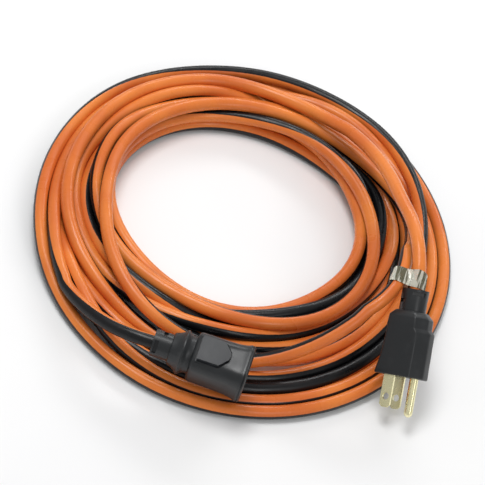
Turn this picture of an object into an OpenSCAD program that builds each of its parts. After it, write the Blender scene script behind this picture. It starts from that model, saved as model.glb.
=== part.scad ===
// Extension cord, hand-wound into a flat coil: plug, locking connector and tie band.
// Millimetres, +Z up, the floor at z = 0 and the origin under the middle of the coil.

/* [Cord] */
// Outside diameter of the jacket
cord_d = 7.7; // [7:0.1:8]
// Outside diameter of one insulated conductor
wire_d = 2.5; // [2.2:0.1:2.7]
// Diameter of the bare copper strands inside a crimp
strands_d = 1.5; // [1.2:0.1:1.6]

/* [Coil] */
// Outer radius of the wound coil
coil_r = 124; // [120:1:128]
// Radius of the open middle
hole_r = 68; // [60:1:72]
// Where the open middle is centred, from the coil's own centre
hole_offset = [-9.8, 12.7]; // [-15:0.1:15]
// Height of the stack on the narrow side
stack_high = 22; // [18:1:26]
// Height of the stack on the wide side
stack_low = 12; // [9:1:15]

/* [Plug] */
// Length of the moulded body
plug_l = 36; // [34:1:40]
// Width of the body at its face, along the ground pin's offset
plug_w = 30; // [29:1:34]
// Thickness of the body at its face, across the blades
plug_t = 24; // [24:1:28]
// Angle that the plug leans down over the rim
plug_pitch = 38; // [36:1:39]
// Angle that the plug is rolled about its own axis
plug_roll = 38; // [36:1:40]

/* [Blades] */
// Distance between the two blades, centre to centre
blade_gap = 12.7; // [12.6:0.05:12.8]
// Width of a blade
blade_w = 6.35; // [6.2:0.05:6.5]
// Thickness of a blade
blade_t = 1.52; // [1.4:0.02:1.6]
// Length of a blade outside the face
blade_l = 18; // [17:0.1:18.2]
// Offset of the ground pin from the line of the blades
ground_offset = 11.9; // [11.8:0.01:12]
// Diameter of the ground pin
ground_d = 4.8; // [4.7:0.01:4.85]
// Length of the ground pin outside the face
ground_l = 21.4; // [20:0.1:22]

/* [Connector] */
// Length of the connector's main body
conn_l = 31; // [30:1:34]
// Width of the body at its face, along the ground socket's offset
conn_w = 28; // [28:1:32]
// Thickness of the body at its face
conn_t = 26; // [26:1:28]
// Angle that the connector leans outward on the coil
conn_lean = 12; // [8:1:16]
// Thickness of the release button's pad above its retaining lip
pad_h = 2.6; // [2.2:0.1:2.8]

/* [Hidden] */
$fn = 48;

coil_at = [0, 2.5, 0];

// Plug: its own +X points out of the face, +Y towards the ground pin, +Z across the blades.
plug_at = [106.4, -72.8, 20.7];
plug_yaw = -79;
plug_out = [cos(plug_pitch) * cos(plug_yaw), cos(plug_pitch) * sin(plug_yaw), -sin(plug_pitch)];
neck_l = 12.5;
neck_d = 15;
blade_y = -3.5;
ground_y = blade_y + ground_offset;
blade_z = blade_gap / 2;
corner_r = 7;
bridge_x = [-12, -3];
barrel_x = [-20, -13.5];
barrel_d = 3.4;
plug_bundle_x = -32;
plug_jacket_x = -40;
// The crimps of the hot, neutral and ground conductors, in Y and Z
plug_crimps = [[blade_y, blade_z], [blade_y, -blade_z], [ground_y, 0]];
// Where the three conductors lie in the jacket, by angle round its axis
bundle_r = 1.5;
plug_bundle = [90, 210, 330];
conn_bundle = [90, 330, 210];
conductors = [0, 1, 2];

// Connector: the same axes, with the release button on its +Z side and ground towards -Y.
conn_at = [26, -110.5, 25.4];
conn_waist_x = -conn_l - 6.5;
conn_neck_x = -44;
socket_blade_y = 4.5;
socket_ground_y = socket_blade_y - ground_offset;
socket_r = 2.6;
socket_depth = 22;
slot_w = 7.2;
slot_t = 2.1;
carrier_x = [-19.5, -1.6];
crimp_x = [-28, -22];
conn_crimps = [[socket_blade_y, blade_z - 1.2], [socket_blade_y, 1.2 - blade_z], [socket_ground_y, 0]];
// Contacts: two leaves that wipe each blade, and a sleeve round the ground socket
clip_x = [-9, -4];
leaf_t = 0.7;
sleeve_t = 0.7;
conn_bundle_x = -40;
conn_jacket_x = -47;
// Release button: a pointed pad that slides in a pocket, over a lever that grips the ground pin.
pad_x = [-28.8, -16.6, -12];
pad_half_w = 7.4;
pad_under = 9.4;
lip = 1.1;
lip_t = 1.2;
pad_top = pad_under + lip_t + pad_h;
pocket_floor = 7.4;
pad_gap = 0.25;
stem_x = -24;
stem_gap = 0.45;
spring_at = [-24, -1.5, 2.6];
spring_d = 4.2;
spring_wire = 0.6;
lever_at = [-18, socket_ground_y, 4.5];
lever_t = 1.2;
lever_w = 2.4;
lever_pin_d = 1.6;
lever_pin_l = lever_w + 4;
lever_room_w = lever_w + 0.6;

// Route of each lead after its strain relief, down to the coil
plug_route = [
    [97.6, -27, 55.8], [94.6, -17, 59.2], [90.6, -6, 60.4], [84.8, 7, 59.2], [77.5, 21.5, 55.5],
    [69, 41, 49], [59, 60, 41.5], [46.5, 77, 34], [32.5, 90.5, 27.5], [18, 99, 23],
    [3, 103.5, 20], [-12, 105.5, 17.5], [-26, 104.5, 15],
];
connector_route = [
    [-38, -110, 24.5], [-52, -106, 21.5], [-66, -98, 17.5], [-79, -87, 13.5], [-90, -74, 10.5],
];

function unit(v) = v / norm(v);
function plug_point(x) = plug_at + x * plug_out;

// Where the lead starts to bend, at the end of the plug's strain relief
plug_lead_start = plug_point(-plug_l - neck_l + 0.5);

module at_plug() {
    translate(plug_at) rotate([plug_roll, plug_pitch, plug_yaw]) children();
}

module at_connector() {
    translate(conn_at) rotate([conn_lean, 0, 0]) children();
}

// A round bar from a to b
module rod(a, b, d) {
    v = b - a;
    translate(a) rotate([0, acos(v[2] / norm(v)), atan2(v[1], v[0])]) cylinder(h = norm(v), d = d);
}

// Lay a shape drawn in Y and Z along X
module along_x(x0, x1) {
    translate([x0, 0, 0]) rotate([90, 0, 90]) linear_extrude(x1 - x0) children();
}

module rounded_rect(w, t, r) {
    square([w - 2 * r, t], center = true);
    square([w, t - 2 * r], center = true);
    for (sx = [-1, 1], sy = [-1, 1]) {
        translate([sx * (w / 2 - r), sy * (t / 2 - r)]) circle(r);
    }
}

module block(x, y, z) {
    translate([x[0], y[0], z[0]]) cube([x[1] - x[0], y[1] - y[0], z[1] - z[0]]);
}

// A bar of round section through a list of points, with flat ends
module bent_bar(points, d, sides) {
    n = len(points);
    rings = [
        for (i = [0 : n - 1])
            let (
                along = unit(points[min(i + 1, n - 1)] - points[max(i - 1, 0)]),
                side = unit(cross(along, [0.02, 0.05, 1])),
                up = cross(side, along)
            )
            for (k = [0 : sides - 1])
                points[i] + d / 2 * (cos(360 * k / sides) * side + sin(360 * k / sides) * up)
    ];
    walls = [
        for (i = [0 : n - 2], k = [0 : sides - 1])
            let (a = i * sides + k, b = i * sides + (k + 1) % sides)
            each [[a, b, b + sides], [a, b + sides, a + sides]]
    ];
    near_end = [for (k = [sides - 1 : -1 : 0]) k];
    far_end = [for (k = [0 : sides - 1]) (n - 1) * sides + k];
    polyhedron(rings, concat(walls, [near_end], [far_end]));
}

// A wire gathers from its crimp, a place in Y and Z, to its angle round the jacket's axis
function wire_start(crimp, x) = [x, crimp[0], crimp[1]];
function bundle_point(angle, x) = [x, bundle_r * cos(angle), bundle_r * sin(angle)];

module gathered_wire(crimp, angle, start_x, bundle_x, jacket_x) {
    bent_bar([bundle_point(angle, jacket_x), bundle_point(angle, bundle_x), wire_start(crimp, start_x)],
        wire_d, 10);
}

module crimp_barrels(crimps, x, d) {
    for (c = crimps) {
        rod(wire_start(c, x[0]), wire_start(c, x[1]), d);
    }
}

// ---- cord ----

module cord_coil() {
    color("orangered") translate(coil_at) difference() {
        rotate_extrude($fn = 96) polygon([
            [0, 0], [coil_r - 3, 0], [coil_r, 3.5], [coil_r - 2, 7.5],
            [coil_r - 14, stack_low], [coil_r - 34, stack_high], [0, stack_high],
        ]);
        translate([hole_offset[0], hole_offset[1], -1]) cylinder(h = stack_high + 2, r = hole_r, $fn = 96);
        tilted_top();
    }
}

// What lies above the stack, whose top rises from the wide side to the narrow side
module tilted_top() {
    rise = atan2(stack_high - stack_low, 2 * (coil_r - 30));
    translate([0, 0, (stack_high + stack_low) / 2]) rotate([rise, 0, 0])
        translate([-200, -200, 0]) cube([400, 400, 60]);
}

module plug_lead() {
    color("orangered") bent_bar(concat([plug_point(plug_jacket_x), plug_lead_start], plug_route), cord_d, 12);
}

module connector_lead() {
    start = [for (x = [conn_jacket_x, -55]) conn_at + [x, 0, 0]];
    color("orangered") bent_bar(concat(start, connector_route), cord_d, 12);
}

// A clear strap round the plug's lead and the strand beside it, just past the strain relief
module tie_band() {
    band_l = 9;
    band_t = 0.8;
    slack = 0.8;
    along = unit(plug_route[0] - plug_lead_start);
    color([0.9, 0.9, 0.85, 0.5])
        translate(plug_lead_start + 7 * along)
            rotate([asin(along[2]) - 90, 0, atan2(along[1], along[0]) - 90])
                translate([-cord_d / 2, 0, 0]) linear_extrude(band_l, center = true) difference() {
                    rounded_rect(2 * (cord_d + band_t) + slack, cord_d + 2 * band_t + slack, 4.9);
                    rounded_rect(2 * cord_d + slack, cord_d + slack, 4.1);
                }
}

// ---- plug ----

module plug_shape() {
    intersection() {
        along_x(-plug_l, 0) rounded_rect(plug_w, plug_t, corner_r);
        linear_extrude(plug_t + 2, center = true) polygon([
            [1, plug_w / 2], [-plug_l + 12, plug_w / 2 - 0.6], [-plug_l + 9, plug_w / 2 - 2.6],
            [-plug_l + 3.5, plug_w / 2 - 2.6], [-plug_l, plug_w / 2 - 5.5],
            [-plug_l, 5.5 - plug_w / 2], [-plug_l + 3.5, 2.8 - plug_w / 2],
            [-plug_l / 2, 2.6 - plug_w / 2], [-plug_l / 4, 1.4 - plug_w / 2], [1, -plug_w / 2],
        ]);
        rotate([90, 0, 0]) linear_extrude(plug_w + 2, center = true) polygon([
            [1, plug_t / 2], [-plug_l + 3.5, plug_t / 2 - 1], [-plug_l, plug_t / 2 - 4],
            [-plug_l, 4 - plug_t / 2], [-plug_l + 3.5, 1 - plug_t / 2], [1, -plug_t / 2],
        ]);
    }
}

module plug_overmold() {
    color([0.16, 0.16, 0.17]) at_plug() difference() {
        plug_shape();
        bridge_shape();
        for (z = [-blade_z, blade_z]) translate([0, blade_y, z]) blade_shape();
        ground_pin_shape();
        crimp_barrels(plug_crimps, barrel_x, barrel_d);
        for (i = conductors) {
            gathered_wire(plug_crimps[i], plug_bundle[i], barrel_x[0], plug_bundle_x, plug_jacket_x);
        }
    }
}

// A sleeve of soft plastic, slotted so that it bends with the cord; turn places the first slots
module strain_relief(x0, x1, turn) {
    slot_rows = 2;
    slot_l = 2.2;
    slot_depth = 2;
    difference() {
        along_x(x0, x1) circle(d = neck_d);
        along_x(x0 - 1, x1 + 1) circle(d = cord_d);
        for (row = [0 : slot_rows - 1], opposite = [0, 180]) {
            rotate([turn + 90 * row + opposite, 0, 0])
                translate([x0 + (row + 0.6) * (x1 - x0) / slot_rows, 0, neck_d / 2])
                    cube([slot_l, neck_d / 2, 2 * slot_depth], center = true);
        }
    }
}

module plug_strain_relief() {
    color([0.16, 0.16, 0.17]) at_plug() union() {
        strain_relief(-plug_l - neck_l, plug_jacket_x, -45);
        difference() {
            along_x(plug_jacket_x, -plug_l) circle(d = neck_d);
            for (i = conductors) {
                gathered_wire(plug_crimps[i], plug_bundle[i], barrel_x[0], plug_bundle_x, plug_jacket_x - 1);
            }
        }
    }
}

module bridge_shape() {
    block(bridge_x, [blade_y - 5, ground_y + 3.2], [-blade_z - 1.8, blade_z + 1.8]);
}

// The stiff insert that holds the three pins apart
module plug_bridge() {
    color("gainsboro") at_plug() difference() {
        bridge_shape();
        for (z = [-blade_z, blade_z]) translate([0, blade_y, z]) blade_shape();
        ground_pin_shape();
    }
}

module blade_shape() {
    tip = 1.6;
    tail_w = 4;
    linear_extrude(blade_t, center = true) polygon([
        [barrel_x[1], -tail_w / 2], [bridge_x[0] + 2, -tail_w / 2], [bridge_x[0] + 2, -blade_w / 2],
        [blade_l - tip, -blade_w / 2], [blade_l, tip - blade_w / 2],
        [blade_l, blade_w / 2 - tip], [blade_l - tip, blade_w / 2],
        [bridge_x[0] + 2, blade_w / 2], [bridge_x[0] + 2, tail_w / 2], [barrel_x[1], tail_w / 2],
    ]);
}

// A flat blade with its detent hole and the crimp barrel behind it
module blade(z) {
    hole_x = 11.9;
    hole_d = 3.96;
    color("gold") at_plug() {
        difference() {
            translate([0, blade_y, z]) blade_shape();
            translate([hole_x, blade_y, z - 2]) cylinder(h = 4, d = hole_d);
        }
        barrel([blade_y, z], barrel_x);
    }
}

// A crimp barrel round the bare strands
module barrel(at, x) {
    difference() {
        rod(wire_start(at, x[0]), wire_start(at, x[1]), barrel_d);
        rod(wire_start(at, x[0] - 1), wire_start(at, x[1] + 1), strands_d);
    }
}

module hot_blade() {
    blade(blade_z);
}

module neutral_blade() {
    blade(-blade_z);
}

module ground_pin_shape() {
    shank_d = 4;
    rod([-0.01, ground_y, 0], [ground_l - ground_d / 2, ground_y, 0], ground_d);
    translate([ground_l - ground_d / 2, ground_y, 0]) sphere(d = ground_d);
    rod([barrel_x[1], ground_y, 0], [0, ground_y, 0], shank_d);
}

module ground_pin() {
    color("gold") at_plug() {
        ground_pin_shape();
        barrel([ground_y, 0], barrel_x);
    }
}

module plug_wire(i) {
    at_plug() gathered_wire(plug_crimps[i], plug_bundle[i], barrel_x[0], plug_bundle_x, plug_jacket_x);
}

module plug_hot_wire() {
    color("dimgray") plug_wire(0);
}

module plug_neutral_wire() {
    color("white") plug_wire(1);
}

module plug_ground_wire() {
    color("green") plug_wire(2);
}

module plug_wire_strands() {
    color("peru") at_plug() crimp_barrels(plug_crimps, barrel_x, strands_d);
}

// ---- connector ----

// A closed outline in X and another axis, from half of it: each point's depth below half the size
function both_sides(half, depths) = concat(
    [for (p = depths) [p[0], half - p[1]]],
    [for (i = [len(depths) - 1 : -1 : 0]) [depths[i][0], depths[i][1] - half]]
);

module connector_shape() {
    side_depths = [[1, 0], [-1.5, 0], [-6, 1.2], [-12, 1.6], [-conn_l + 2, 2], [-conn_l, 3.5]];
    top_depths = [[1, 0], [-1.5, 0], [-6, 1], [-12, 1.3], [-conn_l + 2, 1.4], [-conn_l, 3]];
    waist_d = 20;
    fin_d = 25;
    fin_t = 1.6;
    intersection() {
        along_x(-conn_l, 0) rounded_rect(conn_w, conn_t, corner_r);
        linear_extrude(conn_t + 2, center = true) polygon(both_sides(conn_w / 2, side_depths));
        rotate([90, 0, 0]) linear_extrude(conn_w + 2, center = true)
            polygon(both_sides(conn_t / 2, top_depths));
    }
    along_x(conn_waist_x, -conn_l) circle(d = waist_d);
    along_x(conn_waist_x, conn_waist_x + fin_t) circle(d = fin_d);
    // the bell that widens from the neck to the fin
    translate([conn_neck_x, 0, 0]) rotate([0, 90, 0])
        cylinder(h = conn_waist_x - conn_neck_x, d1 = neck_d + 3, d2 = fin_d - 2);
}

// Outline of the button's pad, grown by g on every side
function pad_outline(g) = [
    [pad_x[0] - g, -pad_half_w - g], [pad_x[1] + g / 2, -pad_half_w - g], [pad_x[2] + g, -2 - g / 2],
    [pad_x[2] + g, 2 + g / 2], [pad_x[1] + g / 2, pad_half_w + g], [pad_x[0] - g, pad_half_w + g],
];

module pad(g, z0, z1) {
    translate([0, 0, z0]) linear_extrude(z1 - z0) polygon(pad_outline(g));
}

// The slot that the lever works in, from x0 to x1 and z0 to z1
module lever_room(x0, x1, z0, z1) {
    block([x0, x1], [lever_at[1] - lever_room_w / 2, lever_at[1] + lever_room_w / 2], [z0, z1]);
}

module connector_overmold() {
    color([0.16, 0.16, 0.17]) at_connector() difference() {
        connector_shape();
        carrier_shape();
        // three ways in through the face, and room behind the carrier for the pins' ends
        for (z = [-blade_z, blade_z]) {
            block([carrier_x[1] - 1, 1], [socket_blade_y - slot_w / 2, socket_blade_y + slot_w / 2],
                [z - slot_t / 2, z + slot_t / 2]);
        }
        rod([-socket_depth, socket_ground_y, 0], [1, socket_ground_y, 0], 2 * socket_r);
        // the button's pocket, with a lip that keeps the button in
        pad(pad_gap, pad_under, conn_t);
        pad(lip + pad_gap, pocket_floor, pad_under + lip_t + 0.1);
        // the lever's room, the stem's way down to it and the spring's pocket
        lever_room(lever_at[0] - 8.4, carrier_x[0] + 0.01, 1.9, pocket_floor + 0.01);
        translate(spring_at) cylinder(h = conn_t, d = spring_d + spring_wire + 0.8);
        contact_tails();
        crimp_barrels(conn_crimps, crimp_x, barrel_d);
        for (i = conductors) {
            gathered_wire(conn_crimps[i], conn_bundle[i], crimp_x[0], conn_bundle_x, conn_jacket_x);
        }
    }
}

module connector_strain_relief() {
    color([0.16, 0.16, 0.17]) at_connector() union() {
        strain_relief(-54, conn_jacket_x, 45);
        difference() {
            along_x(conn_jacket_x, conn_neck_x) circle(d = neck_d);
            for (i = conductors) {
                gathered_wire(conn_crimps[i], conn_bundle[i], crimp_x[0], conn_bundle_x, conn_jacket_x - 1);
            }
        }
    }
}

module carrier_shape() {
    front = [carrier_x[1] - 9, carrier_x[1]];
    block(carrier_x, [-11, 9.2], [-8.4, pocket_floor]);
    block(front, [-11, 9.2], [-8.4, 8.4]);
}

// The stiff insert that holds the three contacts and guides the pins
module contact_carrier() {
    color("darkslategray") at_connector() difference() {
        carrier_shape();
        for (z = [-blade_z, blade_z]) {
            block([carrier_x[0] - 1, carrier_x[1] + 1],
                [socket_blade_y - slot_w / 2, socket_blade_y + slot_w / 2], [z - slot_t / 2, z + slot_t / 2]);
            translate([0, socket_blade_y, z]) contact_clip(sign(z));
        }
        rod([-socket_depth, socket_ground_y, 0], [1, socket_ground_y, 0], 2 * socket_r);
        lever_room(carrier_x[0] - 1, lever_at[0] + 8.2, 2.8, pocket_floor + 0.01);
        lever_room(lever_at[0] + 5.4, lever_at[0] + 8.2, 1, 3);
        lever_pin_shape();
        ground_sleeve();
    }
}

// Two leaves that wipe a blade, joined at one edge; s is +1 above the middle and -1 below it
module contact_clip(s) {
    for (face = [-1, 1]) {
        z = face * (blade_t / 2 + 0.05 + leaf_t / 2);
        block(clip_x, [-3, slot_w / 2 + leaf_t], [z - leaf_t / 2, z + leaf_t / 2]);
    }
    block(clip_x, [slot_w / 2, slot_w / 2 + leaf_t], [-blade_t / 2 - leaf_t, blade_t / 2 + leaf_t]);
    // tail that runs back to the crimp, on the side nearer the middle
    z = -s * (slot_t / 2 + leaf_t / 2);
    block([crimp_x[1], clip_x[0] + 0.01], [-1.5, 1.5], [z - leaf_t / 2, z + leaf_t / 2]);
}

module contact_tails() {
    for (s = [-1, 1]) translate([0, socket_blade_y, s * blade_z]) contact_clip(s);
}

module blade_contact(i, s) {
    color("gold") at_connector() {
        translate([0, socket_blade_y, s * blade_z]) contact_clip(s);
        barrel(conn_crimps[i], crimp_x);
    }
}

module hot_contact() {
    blade_contact(0, 1);
}

module neutral_contact() {
    blade_contact(1, -1);
}

module ground_sleeve() {
    rod([clip_x[0], socket_ground_y, 0], [clip_x[1], socket_ground_y, 0], 2 * (socket_r + sleeve_t));
    // tail that runs back under the bore and up to the crimp
    tail_y = [socket_ground_y - 1.5, socket_ground_y + 1.5];
    block([crimp_x[1], clip_x[0] + 0.5], tail_y, [-socket_r - sleeve_t, 0.4 - socket_r]);
    block([crimp_x[1] - 1, crimp_x[1]], tail_y, [-socket_r - sleeve_t, 0.2 - barrel_d / 2]);
}

module ground_contact() {
    color("gold") at_connector() {
        difference() {
            ground_sleeve();
            rod([-socket_depth, socket_ground_y, 0], [1, socket_ground_y, 0], 2 * socket_r);
        }
        barrel(conn_crimps[2], crimp_x);
    }
}

module connector_wire(i) {
    at_connector() gathered_wire(conn_crimps[i], conn_bundle[i], crimp_x[0], conn_bundle_x, conn_jacket_x);
}

module connector_hot_wire() {
    color("dimgray") connector_wire(0);
}

module connector_neutral_wire() {
    color("white") connector_wire(1);
}

module connector_ground_wire() {
    color("green") connector_wire(2);
}

module connector_wire_strands() {
    color("peru") at_connector() crimp_barrels(conn_crimps, crimp_x, strands_d);
}

// ---- release button ----

module release_button() {
    color([0.2, 0.2, 0.21]) at_connector() difference() {
        union() {
            pad(0, pad_under, pad_top);
            pad(lip, pad_under, pad_under + lip_t);
            translate([stem_x, socket_ground_y, lever_at[2] + lever_t / 2 + stem_gap])
                cylinder(h = pad_under - lever_at[2], d = 2);
        }
        translate([spring_at[0], spring_at[1], pad_under - 1])
            cylinder(h = 2.4, d = spring_d + spring_wire + 0.6);
    }
}

// A helical return spring between the pocket's floor and the button
module button_spring() {
    turns = 4;
    per_turn = 10;
    free_l = pad_under + 1.3 - spring_at[2] - spring_wire;
    points = [
        for (i = [0 : turns * per_turn])
            let (a = 360 * i / per_turn, z = spring_wire / 2 + free_l * i / (turns * per_turn))
            spring_at + [spring_d / 2 * cos(a), spring_d / 2 * sin(a), z]
    ];
    color("silver") at_connector() bent_bar(points, spring_wire, 6);
}

// The lever whose nose grips the ground pin, and which the button's stem tips up
module lock_lever() {
    tail = stem_x - lever_at[0] - 1.4;
    nose_x = 7.2;
    color("silver") at_connector() translate(lever_at) difference() {
        union() {
            block([tail, nose_x], [-lever_w / 2, lever_w / 2], [-lever_t / 2, lever_t / 2]);
            block([nose_x - lever_t, nose_x], [-lever_w / 2, lever_w / 2], [socket_r - lever_at[2] + 0.1, 0]);
            rotate([90, 0, 0]) cylinder(h = lever_w, d = 3, center = true);
        }
        rotate([90, 0, 0]) cylinder(h = lever_w + 2, d = lever_pin_d + 0.1, center = true);
    }
}

module lever_pin_shape() {
    translate(lever_at) rotate([90, 0, 0]) cylinder(h = lever_pin_l, d = lever_pin_d, center = true);
}

// The pin that the lever turns on
module lever_pin() {
    color("silver") at_connector() lever_pin_shape();
}

cord_coil();
plug_lead();
connector_lead();
tie_band();
plug_overmold();
plug_strain_relief();
plug_bridge();
hot_blade();
neutral_blade();
ground_pin();
plug_hot_wire();
plug_neutral_wire();
plug_ground_wire();
plug_wire_strands();
connector_overmold();
connector_strain_relief();
contact_carrier();
hot_contact();
neutral_contact();
ground_contact();
connector_hot_wire();
connector_neutral_wire();
connector_ground_wire();
connector_wire_strands();
release_button();
button_spring();
lock_lever();
lever_pin();
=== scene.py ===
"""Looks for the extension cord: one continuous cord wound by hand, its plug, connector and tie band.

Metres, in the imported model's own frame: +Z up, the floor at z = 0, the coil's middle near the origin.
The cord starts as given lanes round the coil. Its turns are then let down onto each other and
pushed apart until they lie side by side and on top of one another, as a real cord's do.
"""

import math

import bmesh
import bpy
import numpy as np
from mathutils import Euler, Matrix, Vector


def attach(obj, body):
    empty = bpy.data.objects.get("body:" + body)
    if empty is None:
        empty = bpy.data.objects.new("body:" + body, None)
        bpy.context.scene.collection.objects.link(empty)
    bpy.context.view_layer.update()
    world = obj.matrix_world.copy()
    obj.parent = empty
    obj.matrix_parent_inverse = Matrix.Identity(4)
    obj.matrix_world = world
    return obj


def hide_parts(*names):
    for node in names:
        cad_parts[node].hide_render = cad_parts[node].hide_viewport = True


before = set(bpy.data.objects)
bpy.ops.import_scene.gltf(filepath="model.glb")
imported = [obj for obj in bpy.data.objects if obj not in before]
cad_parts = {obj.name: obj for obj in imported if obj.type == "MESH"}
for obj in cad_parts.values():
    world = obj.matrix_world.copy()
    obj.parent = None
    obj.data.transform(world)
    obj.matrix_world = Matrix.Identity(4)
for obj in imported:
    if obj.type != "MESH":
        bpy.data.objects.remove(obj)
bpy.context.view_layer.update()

# ---- driving dimensions, as in part.scad ----

MM = 0.001
CORD_D = 7.7 * MM
CORD_L = 7.62

PLUG_AT = np.array([0.1064, -0.0728, 0.0207])
PLUG_TURN = Euler([math.radians(a) for a in (38, 38, -79)])
CONN_AT = np.array([0.026, -0.1105, 0.0254])
CONN_TURN = Euler([math.radians(a) for a in (12, 0, 0)])
PLUG_FRAME = Matrix.Translation(PLUG_AT) @ PLUG_TURN.to_matrix().to_4x4()
CONN_FRAME = Matrix.Translation(CONN_AT) @ CONN_TURN.to_matrix().to_4x4()
PLUG_OUT = np.array(PLUG_FRAME.to_3x3().col[0])

PLUG_JACKET_X = -40 * MM
GROUND_Y = 8.4 * MM
GROUND_L = 21.4 * MM
GROUND_R = 2.4 * MM

CONN_JACKET_X = -47 * MM
BLADE_Z = 6.35 * MM
SOCKET_BLADE_Y = 4.5 * MM
SOCKET_GROUND_Y = -7.4 * MM
SOCKET_R = 2.6 * MM

# The route of each lead, from its strain relief down to the coil
PLUG_ROUTE = [
    PLUG_AT + PLUG_JACKET_X * PLUG_OUT,
    PLUG_AT - 0.048 * PLUG_OUT,
    [0.0976, -0.027, 0.0558],
    [0.0946, -0.017, 0.0592],
    [0.0906, -0.006, 0.0604],
    [0.0848, 0.007, 0.0592],
    [0.0775, 0.0215, 0.0555],
    [0.069, 0.041, 0.049],
    [0.059, 0.06, 0.0415],
    [0.0465, 0.077, 0.034],
    [0.0325, 0.0905, 0.0275],
    [0.018, 0.099, 0.023],
    [0.003, 0.1035, 0.02],
    [-0.012, 0.1055, 0.0175],
    [-0.026, 0.1045, 0.015],
]
CONNECTOR_ROUTE = [
    CONN_AT + [CONN_JACKET_X, 0, 0],
    CONN_AT + [-0.055, 0, 0],
    [-0.038, -0.11, 0.0245],
    [-0.052, -0.106, 0.0215],
    [-0.066, -0.098, 0.0175],
    [-0.079, -0.087, 0.0135],
    [-0.09, -0.074, 0.0105],
]

# ---- camera, light and floor ----

TARGET = Vector((0.0002, 0.0016, 0.0))
CAMERA_ELEVATION = math.radians(48)
CAMERA_ROLL = math.radians(19)
CAMERA_DISTANCE = 1.5
FRAME_WIDTH = 485 / 1.74 * MM  # the picture's 485 pixels, at 1.74 to a millimetre


def make_camera():
    """Looks along +Y and down, rolled so that world +X runs down to the right of the picture."""
    camera = bpy.data.objects.new("camera", bpy.data.cameras.new("camera"))
    bpy.context.scene.collection.objects.link(camera)
    away = Vector((0, -math.cos(CAMERA_ELEVATION), math.sin(CAMERA_ELEVATION)))
    up = Vector((0, math.sin(CAMERA_ELEVATION), math.cos(CAMERA_ELEVATION)))
    side = Vector((1, 0, 0))
    right = math.cos(CAMERA_ROLL) * side + math.sin(CAMERA_ROLL) * up
    top = -math.sin(CAMERA_ROLL) * side + math.cos(CAMERA_ROLL) * up
    turn = Matrix((right, top, away)).transposed().to_4x4()
    camera.matrix_world = Matrix.Translation(TARGET + CAMERA_DISTANCE * away) @ turn
    camera.data.sensor_width = 36
    camera.data.lens = 36 * CAMERA_DISTANCE / FRAME_WIDTH
    camera.data.clip_end = 20
    bpy.context.scene.camera = camera


def area_light(name, at, size, watts):
    light = bpy.data.lights.new(name, "AREA")
    light.shape = "RECTANGLE"
    light.size, light.size_y = size
    light.energy = watts
    lamp = bpy.data.objects.new(name, light)
    bpy.context.scene.collection.objects.link(lamp)
    lamp.location = at
    lamp.rotation_euler = (TARGET - Vector(at)).to_track_quat("-Z", "Y").to_euler()


def make_stage():
    """A pale floor in soft light: a softbox above, one at the side and a long one at the back."""
    world = bpy.data.worlds.new("studio")
    bpy.context.scene.world = world
    world.use_nodes = True
    background = world.node_tree.nodes["Background"]
    background.inputs["Color"].default_value = (1, 1, 1, 1)
    background.inputs["Strength"].default_value = 0.49
    area_light("key", (-0.35, 0.15, 1.4), (0.7, 0.5), 11)
    area_light("fill", (0.8, -0.9, 0.9), (0.3, 0.8), 3)
    area_light("back", (0.1, 1.2, 0.8), (1.2, 0.25), 6)
    bpy.context.scene.view_settings.view_transform = "Standard"
    floor = mesh_object("floor", [(-6, -6, 0), (6, -6, 0), (6, 6, 0), (-6, 6, 0)], [(0, 1, 2, 3)])
    floor.data.materials.append(floor_material())


# ---- materials ----


class Material:
    """A Principled material with short calls for the nodes that the recipes below use."""

    def __init__(self, name, color, roughness, **constant):
        self.material = bpy.data.materials.new(name)
        self.material.use_nodes = True
        self.tree = self.material.node_tree
        self.shader = self.tree.nodes["Principled BSDF"]
        self.shader.inputs["Base Color"].default_value = (*color, 1)
        self.shader.inputs["Roughness"].default_value = roughness
        for socket, value in constant.items():
            self.shader.inputs[socket.replace("_", " ")].default_value = value

    def node(self, kind, inputs=None, **settings):
        node = self.tree.nodes.new(kind)
        for key, value in settings.items():
            setattr(node, key, value)
        for key, value in (inputs or {}).items():
            self.feed(node.inputs[key], value)
        return node

    def feed(self, socket, value):
        if isinstance(value, bpy.types.NodeSocket):
            self.tree.links.new(value, socket)
        else:
            socket.default_value = value

    def math(self, operation, a, b=0.0):
        return self.node("ShaderNodeMath", {0: a, 1: b}, operation=operation).outputs[0]

    def ramp(self, value, low, high, to=(0.0, 1.0)):
        """Turns low..high into to[0]..to[1], smoothly."""
        inputs = {"Value": value, "From Min": low, "From Max": high, "To Min": to[0], "To Max": to[1]}
        return self.node("ShaderNodeMapRange", inputs, interpolation_type="SMOOTHSTEP").outputs["Result"]

    def place(self, stretch=(1, 1, 1)):
        coordinates = self.node("ShaderNodeTexCoord").outputs["Object"]
        return self.node("ShaderNodeMapping", {"Vector": coordinates, "Scale": stretch}).outputs[0]

    def noise(self, scale, detail=3.0, stretch=(1, 1, 1)):
        inputs = {"Vector": self.place(stretch), "Scale": scale, "Detail": detail}
        return self.node("ShaderNodeTexNoise", inputs).outputs["Fac"]

    def mix(self, share, a, b):
        """Colour a where share is 0 and b where it is 1."""
        mix = self.node("ShaderNodeMix", data_type="RGBA")
        self.feed(mix.inputs[0], share)
        self.feed(mix.inputs[6], a if isinstance(a, bpy.types.NodeSocket) else (*a, 1))
        self.feed(mix.inputs[7], b if isinstance(b, bpy.types.NodeSocket) else (*b, 1))
        return mix.outputs[2]

    def color(self, value):
        self.feed(self.shader.inputs["Base Color"], value)

    def roughness(self, value):
        self.feed(self.shader.inputs["Roughness"], value)

    def bump(self, height, distance, strength=1.0):
        inputs = {"Height": height, "Distance": distance, "Strength": strength}
        if self.shader.inputs["Normal"].is_linked:
            inputs["Normal"] = self.shader.inputs["Normal"].links[0].from_socket
        bump = self.node("ShaderNodeBump", inputs)
        self.feed(self.shader.inputs["Normal"], bump.outputs["Normal"])


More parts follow.
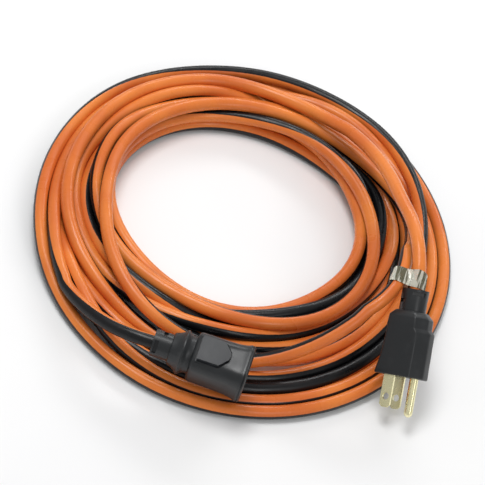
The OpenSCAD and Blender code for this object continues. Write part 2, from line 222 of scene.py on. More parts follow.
ORANGE = (0.76, 0.22, 0.043)
# painted shade: a darker copy of the orange, as the jacket looks where shade falls on it
ORANGE_SHADED = (0.63, 0.145, 0.028)
JACKET_BLACK = (0.006, 0.006, 0.007)
MOULDED_BLACK = (0.012, 0.0135, 0.015)
STRIPE_SHARE = 0.46  # of the way round the jacket
LAY_PER_M = 14  # turns of the conductors inside the jacket, per metre of cord
CONDUCTORS = 3
FILM = (0.9, 0.9, 0.78)
# the colour of the film's pleats: painted shade in its folds
FILM_CREASE_SHADE = (0.2, 0.19, 0.12)


def floor_material():
    m = Material("floor", (0.86, 0.86, 0.86), 0.9)
    m.color(m.mix(m.ramp(m.noise(6), 0.35, 0.65), (0.85, 0.85, 0.855), (0.87, 0.87, 0.87)))
    return m.material


def jacket_material():
    """Two-tone PVC: an orange jacket with a black stripe, from the map that runs along and round it."""
    m = Material("jacket", ORANGE, 0.34, Specular_IOR_Level=0.3)
    along_round = m.node("ShaderNodeSeparateXYZ", {0: m.node("ShaderNodeUVMap").outputs["UV"]})
    along, around = along_round.outputs["X"], along_round.outputs["Y"]
    ragged = m.math("MULTIPLY", m.math("SUBTRACT", m.noise(400), 0.5), 0.012)
    from_stripe = m.math("ABSOLUTE", m.math("ADD", m.math("SUBTRACT", around, 0.5), ragged))
    orange_here = m.ramp(from_stripe, STRIPE_SHARE / 2 - 0.006, STRIPE_SHARE / 2 + 0.006)
    # painted shade: the orange mixed in random patches with its darker, shaded copy
    orange = m.mix(m.ramp(m.noise(22), 0.35, 0.65), ORANGE, ORANGE_SHADED)
    dust = m.ramp(m.noise(160, 6), 0.55, 0.8, (0.0, 0.12))
    black = m.mix(dust, JACKET_BLACK, (0.05, 0.047, 0.045))
    m.color(m.mix(orange_here, black, orange))
    m.roughness(m.ramp(m.noise(90, 5), 0.3, 0.7, (0.22, 0.37)))
    # the twisted conductors show through as a slight swell, and the skin has a fine grain
    lay = m.math("ADD", m.math("MULTIPLY", along, LAY_PER_M * CORD_L), around)
    turns = m.math("MULTIPLY", lay, CONDUCTORS * 2 * math.pi)
    m.bump(m.math("SINE", turns), 0.05 * MM, 0.6)
    m.bump(m.noise(1400, 2), 0.03 * MM, 0.35)
    return m.material


def moulded_material(name, color, roughness):
    """Moulded black plastic with a fine grain, a slight mottle and a few paler patches."""
    m = Material(name, color, roughness, Specular_IOR_Level=0.45)
    pale = tuple(2.2 * c + 0.01 for c in color)
    m.color(m.mix(m.ramp(m.noise(120, 6), 0.5, 0.85, (0.0, 0.35)), color, pale))
    m.roughness(m.ramp(m.noise(60, 4), 0.3, 0.7, (roughness - 0.07, roughness + 0.08)))
    m.bump(m.noise(2600, 2), 0.04 * MM, 0.5)
    m.bump(m.noise(180, 2), 0.12 * MM, 0.3)
    return m.material


def metal_material(name, color, dark, roughness, stretch=(1, 1, 1)):
    """Metal with drawn lines along stretch's small axis and slightly tarnished patches."""
    m = Material(name, color, roughness, Metallic=1.0)
    m.color(m.mix(m.ramp(m.noise(130, 3), 0.5, 0.85, (0.0, 0.6)), color, dark))
    m.roughness(m.ramp(m.noise(300, 3, stretch), 0.3, 0.7, (roughness - 0.06, roughness + 0.08)))
    m.bump(m.noise(900, 2, stretch), 0.01 * MM, 0.25)
    return m.material


def wire_material(name, color):
    m = Material(name, color, 0.4)
    m.color(m.mix(m.ramp(m.noise(300), 0.3, 0.7), color, tuple(0.85 * c for c in color)))
    m.bump(m.noise(900, 2), 0.02 * MM, 0.3)
    return m.material


def strap_material():
    """Thin film, half clear, with painted shade darkening the pleats across it, and cloudy places."""
    m = Material("clear_strap", FILM, 0.1, Transmission_Weight=0.5, IOR=1.45)
    # painted shade: the film darkened along its pleats, where shade falls in the folds
    pleat_shade = m.ramp(m.noise(520, 2, (1, 0.12, 0.12)), 0.46, 0.56)
    m.color(m.mix(pleat_shade, FILM, FILM_CREASE_SHADE))
    m.roughness(m.ramp(m.noise(450, 3), 0.35, 0.7, (0.04, 0.3)))
    m.bump(m.noise(700, 2), 0.15 * MM, 0.6)
    return m.material


def make_materials():
    black = moulded_material("black_pvc", MOULDED_BLACK, 0.36)
    return {
        "jacket": jacket_material(),
        "black_pvc": black,
        "button_plastic": moulded_material("button_plastic", (0.02, 0.022, 0.025), 0.4),
        "insert": moulded_material("insert", (0.3, 0.29, 0.27), 0.5),
        "brass": metal_material("brass", (0.96, 0.9, 0.56), (0.85, 0.74, 0.38), 0.26, (1, 1, 0.2)),
        "steel": metal_material("steel", (0.55, 0.55, 0.54), (0.35, 0.34, 0.33), 0.3),
        "copper": metal_material("copper", (0.8, 0.38, 0.22), (0.5, 0.22, 0.13), 0.3),
        "clear_strap": strap_material(),
        "black_wire": wire_material("black_wire", (0.02, 0.02, 0.02)),
        "white_wire": wire_material("white_wire", (0.75, 0.74, 0.7)),
        "green_wire": wire_material("green_wire", (0.02, 0.2, 0.05)),
    }


# ---- mesh helpers ----


def mesh_object(name, points, faces):
    mesh = bpy.data.meshes.new(name)
    mesh.from_pydata([tuple(p) for p in points], [], faces)
    mesh.validate()
    mesh.update()
    piece = bpy.data.objects.new(name, mesh)
    bpy.context.scene.collection.objects.link(piece)
    return piece


def smooth(piece, degrees=35):
    """Smooth shading, with sharp edges where faces meet at more than this angle."""
    mesh = piece.data
    mesh.polygons.foreach_set("use_smooth", [True] * len(mesh.polygons))
    edit = bmesh.new()
    edit.from_mesh(mesh)
    for edge in edit.edges:
        flat = len(edge.link_faces) == 2 and edge.calc_face_angle(0) < math.radians(degrees)
        edge.smooth = flat
    edit.to_mesh(mesh)
    edit.free()


def outward(piece):
    edit = bmesh.new()
    edit.from_mesh(piece.data)
    bmesh.ops.recalc_face_normals(edit, faces=edit.faces)
    edit.to_mesh(piece.data)
    edit.free()


def loft(name, rings, closed=True):
    """A skin over rings of the same number of points, with a flat cap at each end if closed."""
    count = len(rings[0])
    points = [p for ring in rings for p in ring]
    faces = []
    for low in range(0, (len(rings) - 1) * count, count):
        high = low + count
        for k in range(count):
            after = (k + 1) % count
            faces.append((low + k, low + after, high + after, high + k))
    if closed:
        last = (len(rings) - 1) * count
        faces.append(tuple(range(count - 1, -1, -1)))
        faces.append(tuple(last + k for k in range(count)))
    piece = mesh_object(name, points, faces)
    outward(piece)
    return piece


def rounded_polygon(corners, fillets, steps=4):
    """The corners of a polygon, each rounded off over the length of its fillet on both its sides."""
    corners = [np.array(c, float) for c in corners]
    out = []
    for i, (corner, fillet) in enumerate(zip(corners, fillets)):
        before, after = corners[i - 1] - corner, corners[(i + 1) % len(corners)] - corner
        reach = min(fillet, 0.49 * np.linalg.norm(before), 0.49 * np.linalg.norm(after))
        start = corner + before / np.linalg.norm(before) * reach
        end = corner + after / np.linalg.norm(after) * reach
        for k in range(steps + 1):
            t = k / steps
            out.append((1 - t) ** 2 * start + 2 * t * (1 - t) * corner + t * t * end)
    return out


def octagon_ring(x, low_y, high_y, half_z, chamfer_y, chamfer_z, fillet, top_fillet=None):
    """A cross-section in Y and Z at x: a rectangle with chamfered corners, all edges rounded."""
    cy, cz = chamfer_y, chamfer_z
    corners = [
        (high_y, cz - half_z),
        (high_y, half_z - cz),
        (high_y - cy, half_z),
        (low_y + cy, half_z),
        (low_y, half_z - cz),
        (low_y, cz - half_z),
        (low_y + cy, -half_z),
        (high_y - cy, -half_z),
    ]
    fillets = [fillet] + [top_fillet or fillet] * 4 + [fillet] * 3
    return [(x * MM, y * MM, z * MM) for y, z in rounded_polygon(corners, fillets)]


def round_ring(x, radius):
    """The same number of points as octagon_ring, on a circle."""
    return octagon_ring(x, -radius, radius, radius, 0.586 * radius, 0.586 * radius, 0.414 * radius)


def prism(name, outline, low_z, high_z):
    count = len(outline)
    points = [(x, y, z) for z in (low_z, high_z) for x, y in outline]
    sides = [(k, (k + 1) % count, count + (k + 1) % count, count + k) for k in range(count)]
    caps = [tuple(range(count - 1, -1, -1)), tuple(range(count, 2 * count))]
    piece = mesh_object(name, points, sides + caps)
    outward(piece)
    return piece


def box(name, x, y, z):
    outline = [(x[0], y[0]), (x[1], y[0]), (x[1], y[1]), (x[0], y[1])]
    return prism(name, [(a * MM, b * MM) for a, b in outline], z[0] * MM, z[1] * MM)


def apply_modifiers(piece):
    evaluated = piece.evaluated_get(bpy.context.evaluated_depsgraph_get())
    mesh = bpy.data.meshes.new_from_object(evaluated)
    piece.modifiers.clear()
    piece.data = mesh


def carve(piece, cutters):
    """Takes the cutters' shapes out of the piece, and removes the cutters."""
    for cutter in cutters:
        cut = piece.modifiers.new("cut", "BOOLEAN")
        cut.object = cutter
        cut.solver = "EXACT"
    apply_modifiers(piece)
    for cutter in cutters:
        bpy.data.objects.remove(cutter)


def soften_edges(piece, width, segments=2, degrees=30):
    """Rounds the sharp edges of a piece, so that they catch the light."""
    bevel = piece.modifiers.new("edges", "BEVEL")
    bevel.width = width
    bevel.segments = segments
    bevel.limit_method = "ANGLE"
    bevel.angle_limit = math.radians(degrees)
    bevel.harden_normals = False


def finish_piece(piece, body, material, replaced=()):
    piece.data.materials.clear()
    piece.data.materials.append(material)
    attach(piece, body)
    if replaced:
        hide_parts(*replaced)


# ---- the cord ----

POINTS = 1271
FINE_STEP = 0.65  # from each point of the finished cord to the next, in steps of the settled one
COARSE_POINTS = 4000  # round the coil, before it is cut into even steps
END_GAP = 12  # degrees left between a lead's route and the first or last turn in its lane
RUN_UP = 12  # points of the coil that lead into and out of the tied strand's route
SPAN_POINTS = 12  # in a given route, between each two of its points
COIL_CENTRE = np.array([0.0, 0.004])
COIL_R = np.array([0.1188, 0.1275])  # the outermost centreline, in X and Y
HOLE_CENTRE = np.array([-0.0098, 0.0152])
HOLE_R = np.array([0.0746, 0.071])  # the innermost centreline
START = -15.0  # degrees round the coil where the plug's turn begins
WHOLE_TURNS = 12  # the connector's lead ends part of a turn after these
# The lane of each half turn, from 0 at the inner edge to 1 at the outer: right side, then left side.
# A lane past 1 stays on the edge for longer.
LANES = [
    (0.42, 0.55),
    (0.56, 0.14),
    (0.56, 0.30),
    (0.16, 0.02),
    (0.04, 0.44),
    (0.08, 0.66),
    (0.66, 1.14),
    (1.14, 1.10),
    (0.66, 0.86),
    (1.02, 0.34),
    (0.30, 0.00),
    (0.20, 0.52),
    (0.24, 0.84),
    (0.99, 0.99),
]
# How high each turn starts, in layers: the two ends of the cord lie on top
LAYERS = [10, 8.6, 7.2, 5.8, 4.4, 3, 1.6, 0.2, 0, 1, 2.3, 3.7, 5, 6.5]
LAYER_H = 0.0018
# The turns between which the tie band lifts the strand beside the plug's lead, and its route there
TIED_TURNS = (0.86, 1.17)
TIED_ROUTE = [
    (0.064, -0.062, 0.033),
    (0.0745, -0.056, 0.0405),
    (0.0828, -0.0473, 0.0468),
    (0.0878, -0.036, 0.051),
    (0.0892, -0.023, 0.0525),
    (0.0886, -0.0085, 0.051),
    (0.0878, 0.008, 0.0465),
    (0.087, 0.028, 0.0395),
    (0.0855, 0.05, 0.031),
]
TIED_AT = np.array(TIED_ROUTE[3])
PLUG_HELD = 0.15  # the cord's length at each end that keeps to its route
CONN_HELD = 0.075
PLUG_LEAD_POINTS = 60
PLUG_R = 0.013
CONN_UNDERSIDE = 0.0126  # above the floor
OWN_LEAD_POINTS = (30, 40)  # at the plug and at the connector, which their bodies don't push
# The side that the black stripe is on, in degrees from up towards outward: right, far, left, near
STRIPE = [
    (180, 140, 190, 290),
    (225, 165, 140, 290),
    (230, 185, 120, 250),
    (215, 40, 130, 110),
    (140, 45, -75, -40),
    (0, 45, 140, 100),
    (100, 35, 125, 160),
    (130, 85, 140, 50),
    (-60, -150, -210, -230),
    (-235, -230, -270, -260),
    (-225, -150, -210, -325),
    (-360, -510, -540, -610),
    (-580, -585, -550, -678),
]


def knots(t, values):
    """A smooth curve through values, one at each whole number."""
    values = np.asarray(values, float)
    i = np.clip(np.floor(t).astype(int), 0, len(values) - 2)
    f = t - i
    a, b, c, d = (values[np.clip(i + k, 0, len(values) - 1)] for k in (-1, 0, 1, 2))
    square, cube = 2 * a - 5 * b + 4 * c - d, 3 * b - a - 3 * c + d
    return 0.5 * (2 * b + (c - a) * f + square * f**2 + cube * f**3)


def curve_through(points, per_span=SPAN_POINTS):
    """A smooth line through points, with per_span steps between each two."""
    points = np.array(points, float)
    t = np.linspace(0, len(points) - 1, per_span * (len(points) - 1) + 1)
    return np.stack([knots(t, points[:, k]) for k in range(3)], axis=1)


def evenly(line, count):
    """The line again, as this many points at equal steps."""
    steps = np.linalg.norm(np.diff(line, axis=0), axis=1)
    along = np.concatenate([[0], np.cumsum(steps)])
    at = np.linspace(0, along[-1], count)
    return np.stack([np.interp(at, along, line[:, k]) for k in range(3)], axis=1)


def blurred(values, spread, mirrored):
    """Each point averaged with its neighbours along the cord; past the ends, mirrored or zero."""
    reach = int(4 * spread) + 1
    weights = np.exp(-0.5 * (np.arange(-reach, reach + 1) / spread) ** 2)
    weights /= weights.sum()
    if mirrored:
        head = 2 * values[0] - values[reach:0:-1]
        tail = 2 * values[-1] - values[-2 : -reach - 2 : -1]
        padded = np.vstack([head, values, tail])
    else:
        padded = np.pad(values, ((reach, reach), (0, 0)))
    return np.stack([np.convolve(padded[:, k], weights, "valid") for k in range(3)], axis=1)


def round_coil(angle, lane):
    """A place in X and Y, between the hole's edge at lane 0 and the coil's edge at lane 1."""
    around = np.stack([np.cos(angle), np.sin(angle)], axis=1)
    inner = HOLE_CENTRE + HOLE_R * around
    outer = COIL_CENTRE + COIL_R * around
    return inner + (outer - inner) * lane[:, None]


def laid_out():
    """The cord before it settles: the leads' routes, joined by turns in their lanes."""
    plug_end = curve_through(PLUG_ROUTE)
    connector_end = curve_through(CONNECTOR_ROUTE)[::-1]
    first = math.degrees(math.atan2(*(plug_end[-1, :2] - COIL_CENTRE)[::-1])) + END_GAP
    past_turns = math.degrees(math.atan2(*(connector_end[0, :2] - COIL_CENTRE)[::-1])) % 360
    last = 360 * WHOLE_TURNS + past_turns - END_GAP
    angle = np.linspace(first, last, COARSE_POINTS)
    turn = (angle - START) / 360
    lanes = np.clip(knots(2 * turn, np.ravel(LANES)), 0, 1)
    flat = round_coil(np.radians(angle), lanes)
    height = CORD_D / 2 + LAYER_H * knots(turn, LAYERS)
    coil = np.column_stack([flat, height])
    before, after = coil[turn < TIED_TURNS[0]], coil[turn > TIED_TURNS[1]]
    joined = np.vstack([before[[-RUN_UP, -1]], TIED_ROUTE, after[[0, RUN_UP]]])
    tied = curve_through(joined)[SPAN_POINTS:-SPAN_POINTS]
    coil = np.vstack([before, tied, after])
    return evenly(np.vstack([plug_end, coil, connector_end]), POINTS)


def freedom(line, step):
    """How freely each point moves, and how freely it falls: the leads and the tied strand are held."""
    count = np.arange(POINTS)
    from_plug = count - PLUG_HELD / step
    from_connector = POINTS - 1 - count - CONN_HELD / step
    free = np.clip(np.minimum(from_plug, from_connector) / 10, 0, 1)
    # the plug's own lead passes near the tie too, so its points are put out of reach
    distance = np.linalg.norm(line - TIED_AT, axis=1) + np.where(count < PLUG_LEAD_POINTS, 1, 0)
    from_tie = abs(count - np.argmin(distance))
    moves = free * np.clip((from_tie - 4) / 8, 0, 1)
    falls = free * np.clip((from_tie - 4) / 20, 0, 1)
    return moves[:, None], falls


def pushed_apart(line, pairs):
    """The move that parts each two strands that are less than a diameter from each other."""
    i, j = pairs
    between = line[j] - line[i]
    distance = np.linalg.norm(between, axis=1) + 1e-9
    rest = 1.02 * CORD_D
    near = distance < rest
    i, j = i[near], j[near]
    push = between[near] * ((rest - distance[near]) / distance[near] * 0.5)[:, None]
    move, count = np.zeros_like(line), np.zeros(len(line))
    np.add.at(move, i, -push)
    np.add.at(move, j, push)
    np.add.at(count, i, 1)
    np.add.at(count, j, 1)
    return move / np.maximum(count, 1)[:, None] ** 0.7


def kept_in(line):
    """The move that keeps the strands inside the coil's edges, off the floor and clear of both ends."""
    move = np.zeros_like(line)
    for centre, radius, outside in ((COIL_CENTRE, COIL_R, True), (HOLE_CENTRE, HOLE_R, False)):
        from_centre = line[:, :2] - centre
        share = np.linalg.norm(from_centre / radius, axis=1)
        wrong = share > 1 if outside else share < 1
        move[wrong, :2] += from_centre[wrong] * (1 / share[wrong] - 1)[:, None]
    move += under_plug(line)
    move += under_connector(line)
    move[:, 2] += np.maximum(CORD_D / 2 - line[:, 2], 0)
    return move


def under_plug(line):
    """The move that clears the strands from the plug, a capsule along its axis, mostly downwards."""
    move = np.zeros_like(line)
    start, end = PLUG_AT - 0.002 * PLUG_OUT, PLUG_AT - 0.038 * PLUG_OUT
    clear = PLUG_R + CORD_D / 2
    axis = end - start
    nearest = start + np.clip((line - start) @ axis / (axis @ axis), 0, 1)[:, None] * axis
    off = line - nearest
    distance = np.linalg.norm(off, axis=1)
    under = (distance < clear) & (np.arange(POINTS) > OWN_LEAD_POINTS[0])
    depth = clear - distance[under]
    move[under, :2] += 0.5 * off[under, :2] * (depth / distance[under])[:, None]
    move[under, 2] -= 0.8 * depth
    return move


def under_connector(line):
    """The move that presses down the strands below the connector, whose sides curve upwards."""
    move = np.zeros_like(line)
    from_axis = abs(line[:, 1] - CONN_AT[1])
    ceiling = CONN_UNDERSIDE - CORD_D / 2 + 0.9 * np.maximum(0, from_axis - 0.011)
    beside = (line[:, 0] > -0.06) & (line[:, 0] < 0.028) & (from_axis < 0.017)
    high = beside & (np.arange(POINTS) < POINTS - OWN_LEAD_POINTS[1]) & (line[:, 2] > ceiling)
    move[high, 2] -= 0.6 * (line[:, 2] - ceiling)[high]
    return move


def settle(line, rounds=450):
    """Lets the turns down onto each other and parts them, keeping the cord's length and bends."""
    step = CORD_L / (POINTS - 1)
    moves, falls = freedom(line, step)
    line = line.copy()
    for r in range(rounds):
        line[:, 2] -= (0.14 * (1 - r / rounds) + 0.02) * MM * falls
        if r % 8 == 0:
            square = (line**2).sum(1)
            distance = square[:, None] + square[None, :] - 2 * line @ line.T
            pairs = np.nonzero(np.triu(distance < (CORD_D + 0.007) ** 2, 6))
        line += 1.3 * blurred(2 * pushed_apart(line, pairs) + kept_in(line), 2.2, False) * moves
        for _ in range(2):
            span = np.diff(line, axis=0)
            long = np.linalg.norm(span, axis=1)
            pull = 0.25 * span * ((long - step) / long)[:, None]
            line[:-1] += pull * moves[:-1]
            line[1:] -= pull * moves[1:]
        soft = blurred(line, 3.0, True)
        line += 0.25 * (2 * soft - blurred(soft, 3.0, True) - line) * moves
        line[:, 2] = np.maximum(line[:, 2], CORD_D / 2)
    return line


def turn_of(line):
    """How many turns from START each point has gone round the coil."""
    angle = np.unwrap(np.arctan2(line[:, 1] - COIL_CENTRE[1], line[:, 0]))
    turn = (np.degrees(angle) - START) / 360
    return turn - round(float(turn[0]))


def cord_tube(line, sides=28):
    """A tube along the line whose first edge is opposite the stripe, and a map along and round it."""
    rings = len(line)
    along = np.gradient(line, axis=0)
    along /= np.linalg.norm(along, axis=1)[:, None]
    outward_side = np.cross(along, [0, 0, 1.0])
    outward_side /= np.linalg.norm(outward_side, axis=1)[:, None]
    upper_side = np.cross(outward_side, along)
    quarter = (turn_of(line) + START / 360) * 4
    stripe = np.radians(knots(np.clip(quarter, 0, None), np.ravel(STRIPE)))
    around = np.arange(sides) / sides
    angle = stripe[:, None] + math.pi + 2 * math.pi * around[None, :]
    points = (
        line[:, None, :]
        + CORD_D / 2 * np.cos(angle)[:, :, None] * upper_side[:, None, :]
        + CORD_D / 2 * np.sin(angle)[:, :, None] * outward_side[:, None, :]
    )
    tube = loft("cord", points.reshape(rings, sides, 3).tolist())
    uv = tube.data.uv_layers.new(name="along_round")
    place = np.zeros((len(tube.data.loops), 2))
    for face in tube.data.polygons:
        corners = [tube.data.loops[i].vertex_index for i in face.loop_indices]
        wraps = len(corners) == 4 and {c % sides for c in corners} == {0, sides - 1}
        for i, corner in zip(face.loop_indices, corners):
            k = corner % sides
            place[i] = (corner // sides / (rings - 1), 1.0 if wraps and k == 0 else k / sides)
    uv.data.foreach_set("uv", place.ravel())
    smooth(tube, 60)
    return tube


def make_cord(materials):
    line = settle(laid_out())
    at = np.arange(0, len(line) - 0.5, FINE_STEP)
    fine = np.stack([knots(at, line[:, k]) for k in range(3)], axis=1)
    cord = cord_tube(fine)
    replaced = ("cord_coil", "plug_lead", "connector_lead")
    finish_piece(cord, "cord_set", materials["jacket"], replaced)
    return cord, fine


# ---- the plug ----


def make_plug(materials):
    # x, then the section's -Y and +Y edges, half its thickness, its chamfer in Y and Z and its rounding
    stations = [
        (-36.4, -8.0, 8.2, 8.2, 3.0, 6.0, 1.5),
        (-36.0, -8.8, 9.2, 9.0, 3.2, 6.6, 1.3),
        (-33.4, -11.4, 12.0, 11.0, 3.8, 8.2, 1.0),
        (-32.7, -11.8, 12.5, 11.2, 4.0, 8.4, 1.0),
        (-27.6, -12.2, 12.6, 11.3, 4.0, 8.5, 1.0),
        (-26.9, -12.2, 13.0, 11.3, 4.1, 8.5, 1.0),
        (-25.4, -12.3, 14.5, 11.4, 4.4, 8.6, 1.0),
        (-24.6, -12.3, 14.8, 11.4, 4.4, 8.6, 1.0),
        (-18.0, -12.5, 14.8, 11.5, 4.4, 8.7, 1.0),
        (-12.0, -13.0, 14.9, 11.7, 4.4, 8.8, 1.0),
        (-7.0, -13.8, 14.9, 11.8, 4.5, 8.9, 1.0),
        (-3.0, -14.6, 15.0, 11.9, 4.5, 9.0, 1.0),
        (-0.6, -15.0, 15.0, 12.0, 4.5, 9.0, 1.0),
        (-0.15, -14.8, 14.8, 11.8, 4.5, 9.0, 1.0),
        (0.0, -14.4, 14.4, 11.4, 4.4, 8.8, 1.0),
    ]
    body = loft("plug_body", [octagon_ring(*s) for s in stations])
    body.matrix_world = PLUG_FRAME
    smooth(body, 30)
    finish_piece(body, "cord_set", materials["black_pvc"], ("plug_overmold",))
    return body


def make_ground_pin(materials):
    """A pin folded from sheet brass: two seams along its length and a rounded nose."""
    sides = 40
    nose_x = GROUND_L - GROUND_R
    stations = [(-0.013, 2.0 * MM), (-0.0002, 2.0 * MM), (0.0, GROUND_R), (nose_x, GROUND_R)]
    for degrees in range(15, 90, 15):
        a = math.radians(degrees)
        stations.append((nose_x + GROUND_R * math.sin(a), GROUND_R * math.cos(a)))
    stations.append((GROUND_L, 0.12 * MM))
    rings = []
    for x, radius in stations:
        ring = []
        for k in range(sides):
            a = 2 * math.pi * k / sides
            seam = max(math.exp(-(((math.degrees(a) - c) / 12) ** 2)) for c in (60, 130, 240, 310))
            r = radius * (1 - 0.09 * seam)
            ring.append((x, GROUND_Y + r * math.cos(a), r * math.sin(a)))
        rings.append(ring)
    pin = loft("ground_pin_folded", rings)
    pin.matrix_world = PLUG_FRAME
    smooth(pin, 50)
    finish_piece(pin, "cord_set", materials["brass"], ("ground_pin",))
    return pin


# ---- the connector ----

PAD_X = (-28.8, -16.6, -12.0)
PAD_HALF_W = 7.4


def pad_outline(grow, fillet):
    """The button's pointed outline in X and Y, grown by a gap on every side."""
    g, w = grow, PAD_HALF_W + grow
    corners = [
        (PAD_X[0] - g, -w),
        (PAD_X[1] + g / 2, -w),
        (PAD_X[2] + g, -2 - g / 2),
        (PAD_X[2] + g, 2 + g / 2),
        (PAD_X[1] + g / 2, w),
        (PAD_X[0] - g, w),
    ]
    return [(x * MM, y * MM) for x, y in rounded_polygon(corners, [fillet] * 6)]


def rod(name, x, y, radius, sides=32):
    """A round bar along X, from x[0] to x[1], with its middle at y."""
    angles = [2 * math.pi * k / sides for k in range(sides)]
    circle = [(y + radius * math.cos(a), radius * math.sin(a)) for a in angles]
    return loft(name, [[(end, *place) for place in circle] for end in x])


def make_connector(materials):
    bell = [(-44.0, 8.0), (-43.5, 8.8), (-41.5, 9.5), (-39.4, 10.5), (-38.2, 11.6), (-37.4, 12.4)]
    waist = [(-36.9, 12.5), (-36.4, 12.2), (-35.2, 11.0), (-33.8, 10.4), (-31.8, 10.3)]
    rings = [round_ring(x, r) for x, r in bell + waist]
    # x, half width, half thickness and chamfer of the main body, up to its double rim
    stations = [
        (-31.4, 10.8, 10.6, 3.4),
        (-30.8, 11.6, 11.2, 3.8),
        (-29.6, 12.0, 11.6, 4.0),
        (-20.0, 12.2, 11.7, 4.1),
        (-13.0, 12.3, 11.7, 4.1),
        (-9.0, 12.5, 11.9, 4.2),
        (-6.0, 12.9, 12.2, 4.3),
        (-4.0, 13.4, 12.6, 4.5),
        (-3.0, 13.8, 12.9, 4.6),
        (-2.6, 14.0, 13.0, 4.7),
        (-1.9, 14.0, 13.0, 4.7),
        (-1.7, 13.5, 12.5, 4.6),
        (-1.4, 13.5, 12.5, 4.6),
        (-1.2, 14.0, 13.0, 4.7),
        (-0.8, 14.0, 13.0, 4.7),
        (0.0, 13.0, 12.0, 4.4),
    ]
    rings += [octagon_ring(x, -w, w, t, c, c, 0.7, 3.0) for x, w, t, c in stations]
    body = loft("connector_body", rings)
    cutters = [
        prism("pocket", pad_outline(0.85, 1.6), 9.0 * MM, 14 * MM),
        prism("lip_room", pad_outline(1.4, 1.6), 7.4 * MM, 10.7 * MM),
        box("carrier_room", (-19.5, -1.6), (-11.0, 9.2), (-8.4, 7.5)),
        box("carrier_front", (-10.6, -1.6), (-11.0, 9.2), (-8.4, 8.4)),
        box("lever_room", (-26.4, -19.0), (-9.1, -5.7), (1.9, 7.5)),
        box("spring_room", (-26.8, -21.2), (-4.3, 1.3), (2.6, 7.5)),
        rod("ground_opening", (-1.7 * MM, 1 * MM), SOCKET_GROUND_Y, SOCKET_R),
    ]
    for z in (-BLADE_Z / MM, BLADE_Z / MM):
        y = SOCKET_BLADE_Y / MM
        cutters.append(box("blade_opening", (-1.7, 1.0), (y - 3.6, y + 3.6), (z - 1.05, z + 1.05)))
    carve(body, cutters)
    body.matrix_world = CONN_FRAME
    smooth(body, 28)
    finish_piece(body, "cord_set", materials["black_pvc"], ("connector_overmold",))
    return body


# ---- the tie band ----

BAND_L = 0.0095
BAND_T = 0.35 * MM
BAND_PAST_ROUTE = 0.0052  # along the plug's lead, past the second point of its route
BAND_SIDES, BAND_ROWS = 72, 15
LEAD_SEARCH = 120  # points from the plug: the lead is before them, and the tied strand after


def point_at(line, at):
    """The line's point at a count that needn't be whole."""
    return np.array([knots(np.array([at]), line[:, k])[0] for k in range(3)])


def band_ring(lead, tied, radius, s):
    """One ring of the band, round two strands: each is its centre and a point just past it."""
    across = tied[0] - lead[0]
    gap = np.linalg.norm(across)
    across /= gap
    over = np.cross(lead[1] - lead[0] + tied[1] - tied[0], across)
    over /= np.linalg.norm(over)
    ring = []
    for k in range(BAND_SIDES):
        a = 2 * math.pi * k / BAND_SIDES
        # round each strand on its outer side, and pinched in between the two
        toward = max(-1.0, min(1.0, math.cos(a) / 0.3))
        pinch = 1 - 0.4 * (1 - abs(toward))
        crease = 0.3 * MM * math.sin(17 * a + 160 * s) + 0.2 * MM * math.sin(5 * a - 500 * s)
        out = radius + abs(crease)
        sideways = across * (toward * gap / 2 + out * math.cos(a))
        ring.append((lead[0] + tied[0]) / 2 + sideways + over * math.sin(a) * out * pinch)
    return ring


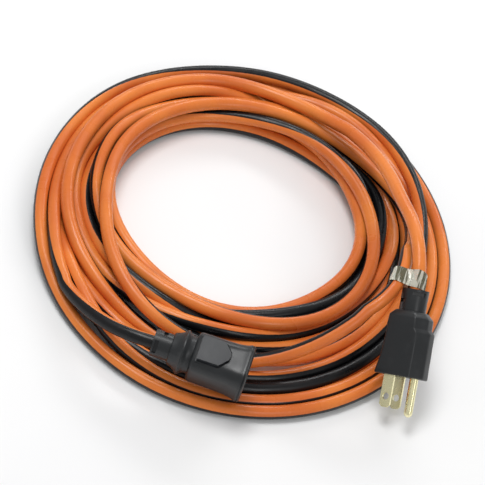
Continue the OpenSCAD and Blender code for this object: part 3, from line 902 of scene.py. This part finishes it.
def make_tie_band(materials, line):
    """A clear strap, creased, wrapped round the plug's lead and the raised strand beside it."""
    start, end = np.array(PLUG_ROUTE[1:3], float)
    lead_at = start + BAND_PAST_ROUTE * (end - start) / np.linalg.norm(end - start)
    distance = np.linalg.norm(line - lead_at, axis=1)
    lead_i = int(np.argmin(distance[:LEAD_SEARCH]))
    tied_i = LEAD_SEARCH + int(np.argmin(distance[LEAD_SEARCH:]))
    step = np.linalg.norm(line[lead_i + 1] - line[lead_i])
    lead_i -= (line[lead_i] - lead_at) @ (line[lead_i + 1] - line[lead_i]) / step**2
    rings = []
    # up the inside of the film, back down its outside, and closed onto the first ring
    for layer, rows in enumerate((range(BAND_ROWS), reversed(range(BAND_ROWS)))):
        for r in rows:
            s = (r / (BAND_ROWS - 1) - 0.5) * BAND_L
            lead = [point_at(line, lead_i + s / step + e) for e in (0, 0.5)]
            tied = [point_at(line, tied_i + s / step + e) for e in (0, 0.5)]
            radius = CORD_D / 2 + 0.4 * MM + BAND_T * layer + 0.1 * MM * (r % 2)
            rings.append(band_ring(lead, tied, radius, s))
    rings.append(rings[0])
    band = loft("tie_band_film", [[tuple(p) for p in ring] for ring in rings], closed=False)
    edit = bmesh.new()
    edit.from_mesh(band.data)
    bmesh.ops.remove_doubles(edit, verts=edit.verts, dist=1e-6)
    bmesh.ops.recalc_face_normals(edit, faces=edit.faces)
    edit.to_mesh(band.data)
    edit.free()
    smooth(band, 60)
    finish_piece(band, "cord_set", materials["clear_strap"], ("tie_band",))
    return band


# ---- the CAD nodes whose shapes are right ----

NODE_MATERIALS = {
    "black_pvc": ("plug_strain_relief", "connector_strain_relief"),
    "insert": ("plug_bridge", "contact_carrier"),
    "brass": ("hot_blade", "neutral_blade", "hot_contact", "neutral_contact", "ground_contact"),
    "copper": ("plug_wire_strands", "connector_wire_strands"),
    "black_wire": ("plug_hot_wire", "connector_hot_wire"),
    "white_wire": ("plug_neutral_wire", "connector_neutral_wire"),
    "green_wire": ("plug_ground_wire", "connector_ground_wire"),
    "button_plastic": ("release_button",),
    "steel": ("button_spring", "lock_lever", "lever_pin"),
}
SOFTENED = {
    "plug_strain_relief": 0.5,
    "connector_strain_relief": 0.5,
    "hot_blade": 0.25,
    "neutral_blade": 0.25,
    "release_button": 0.7,
}


def dress_nodes(materials):
    for name, members in NODE_MATERIALS.items():
        for member in members:
            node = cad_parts[member]
            node.data.materials.clear()
            node.data.materials.append(materials[name])
    for name, width in SOFTENED.items():
        soften_edges(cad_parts[name], width * MM, 3)


# ---- assembly ----

make_camera()
materials = make_materials()
cord, centreline = make_cord(materials)
plug_body = make_plug(materials)
connector_body = make_connector(materials)
ground_pin = make_ground_pin(materials)
tie_band = make_tie_band(materials, centreline)
dress_nodes(materials)
make_stage()

tuple(centreline[0])
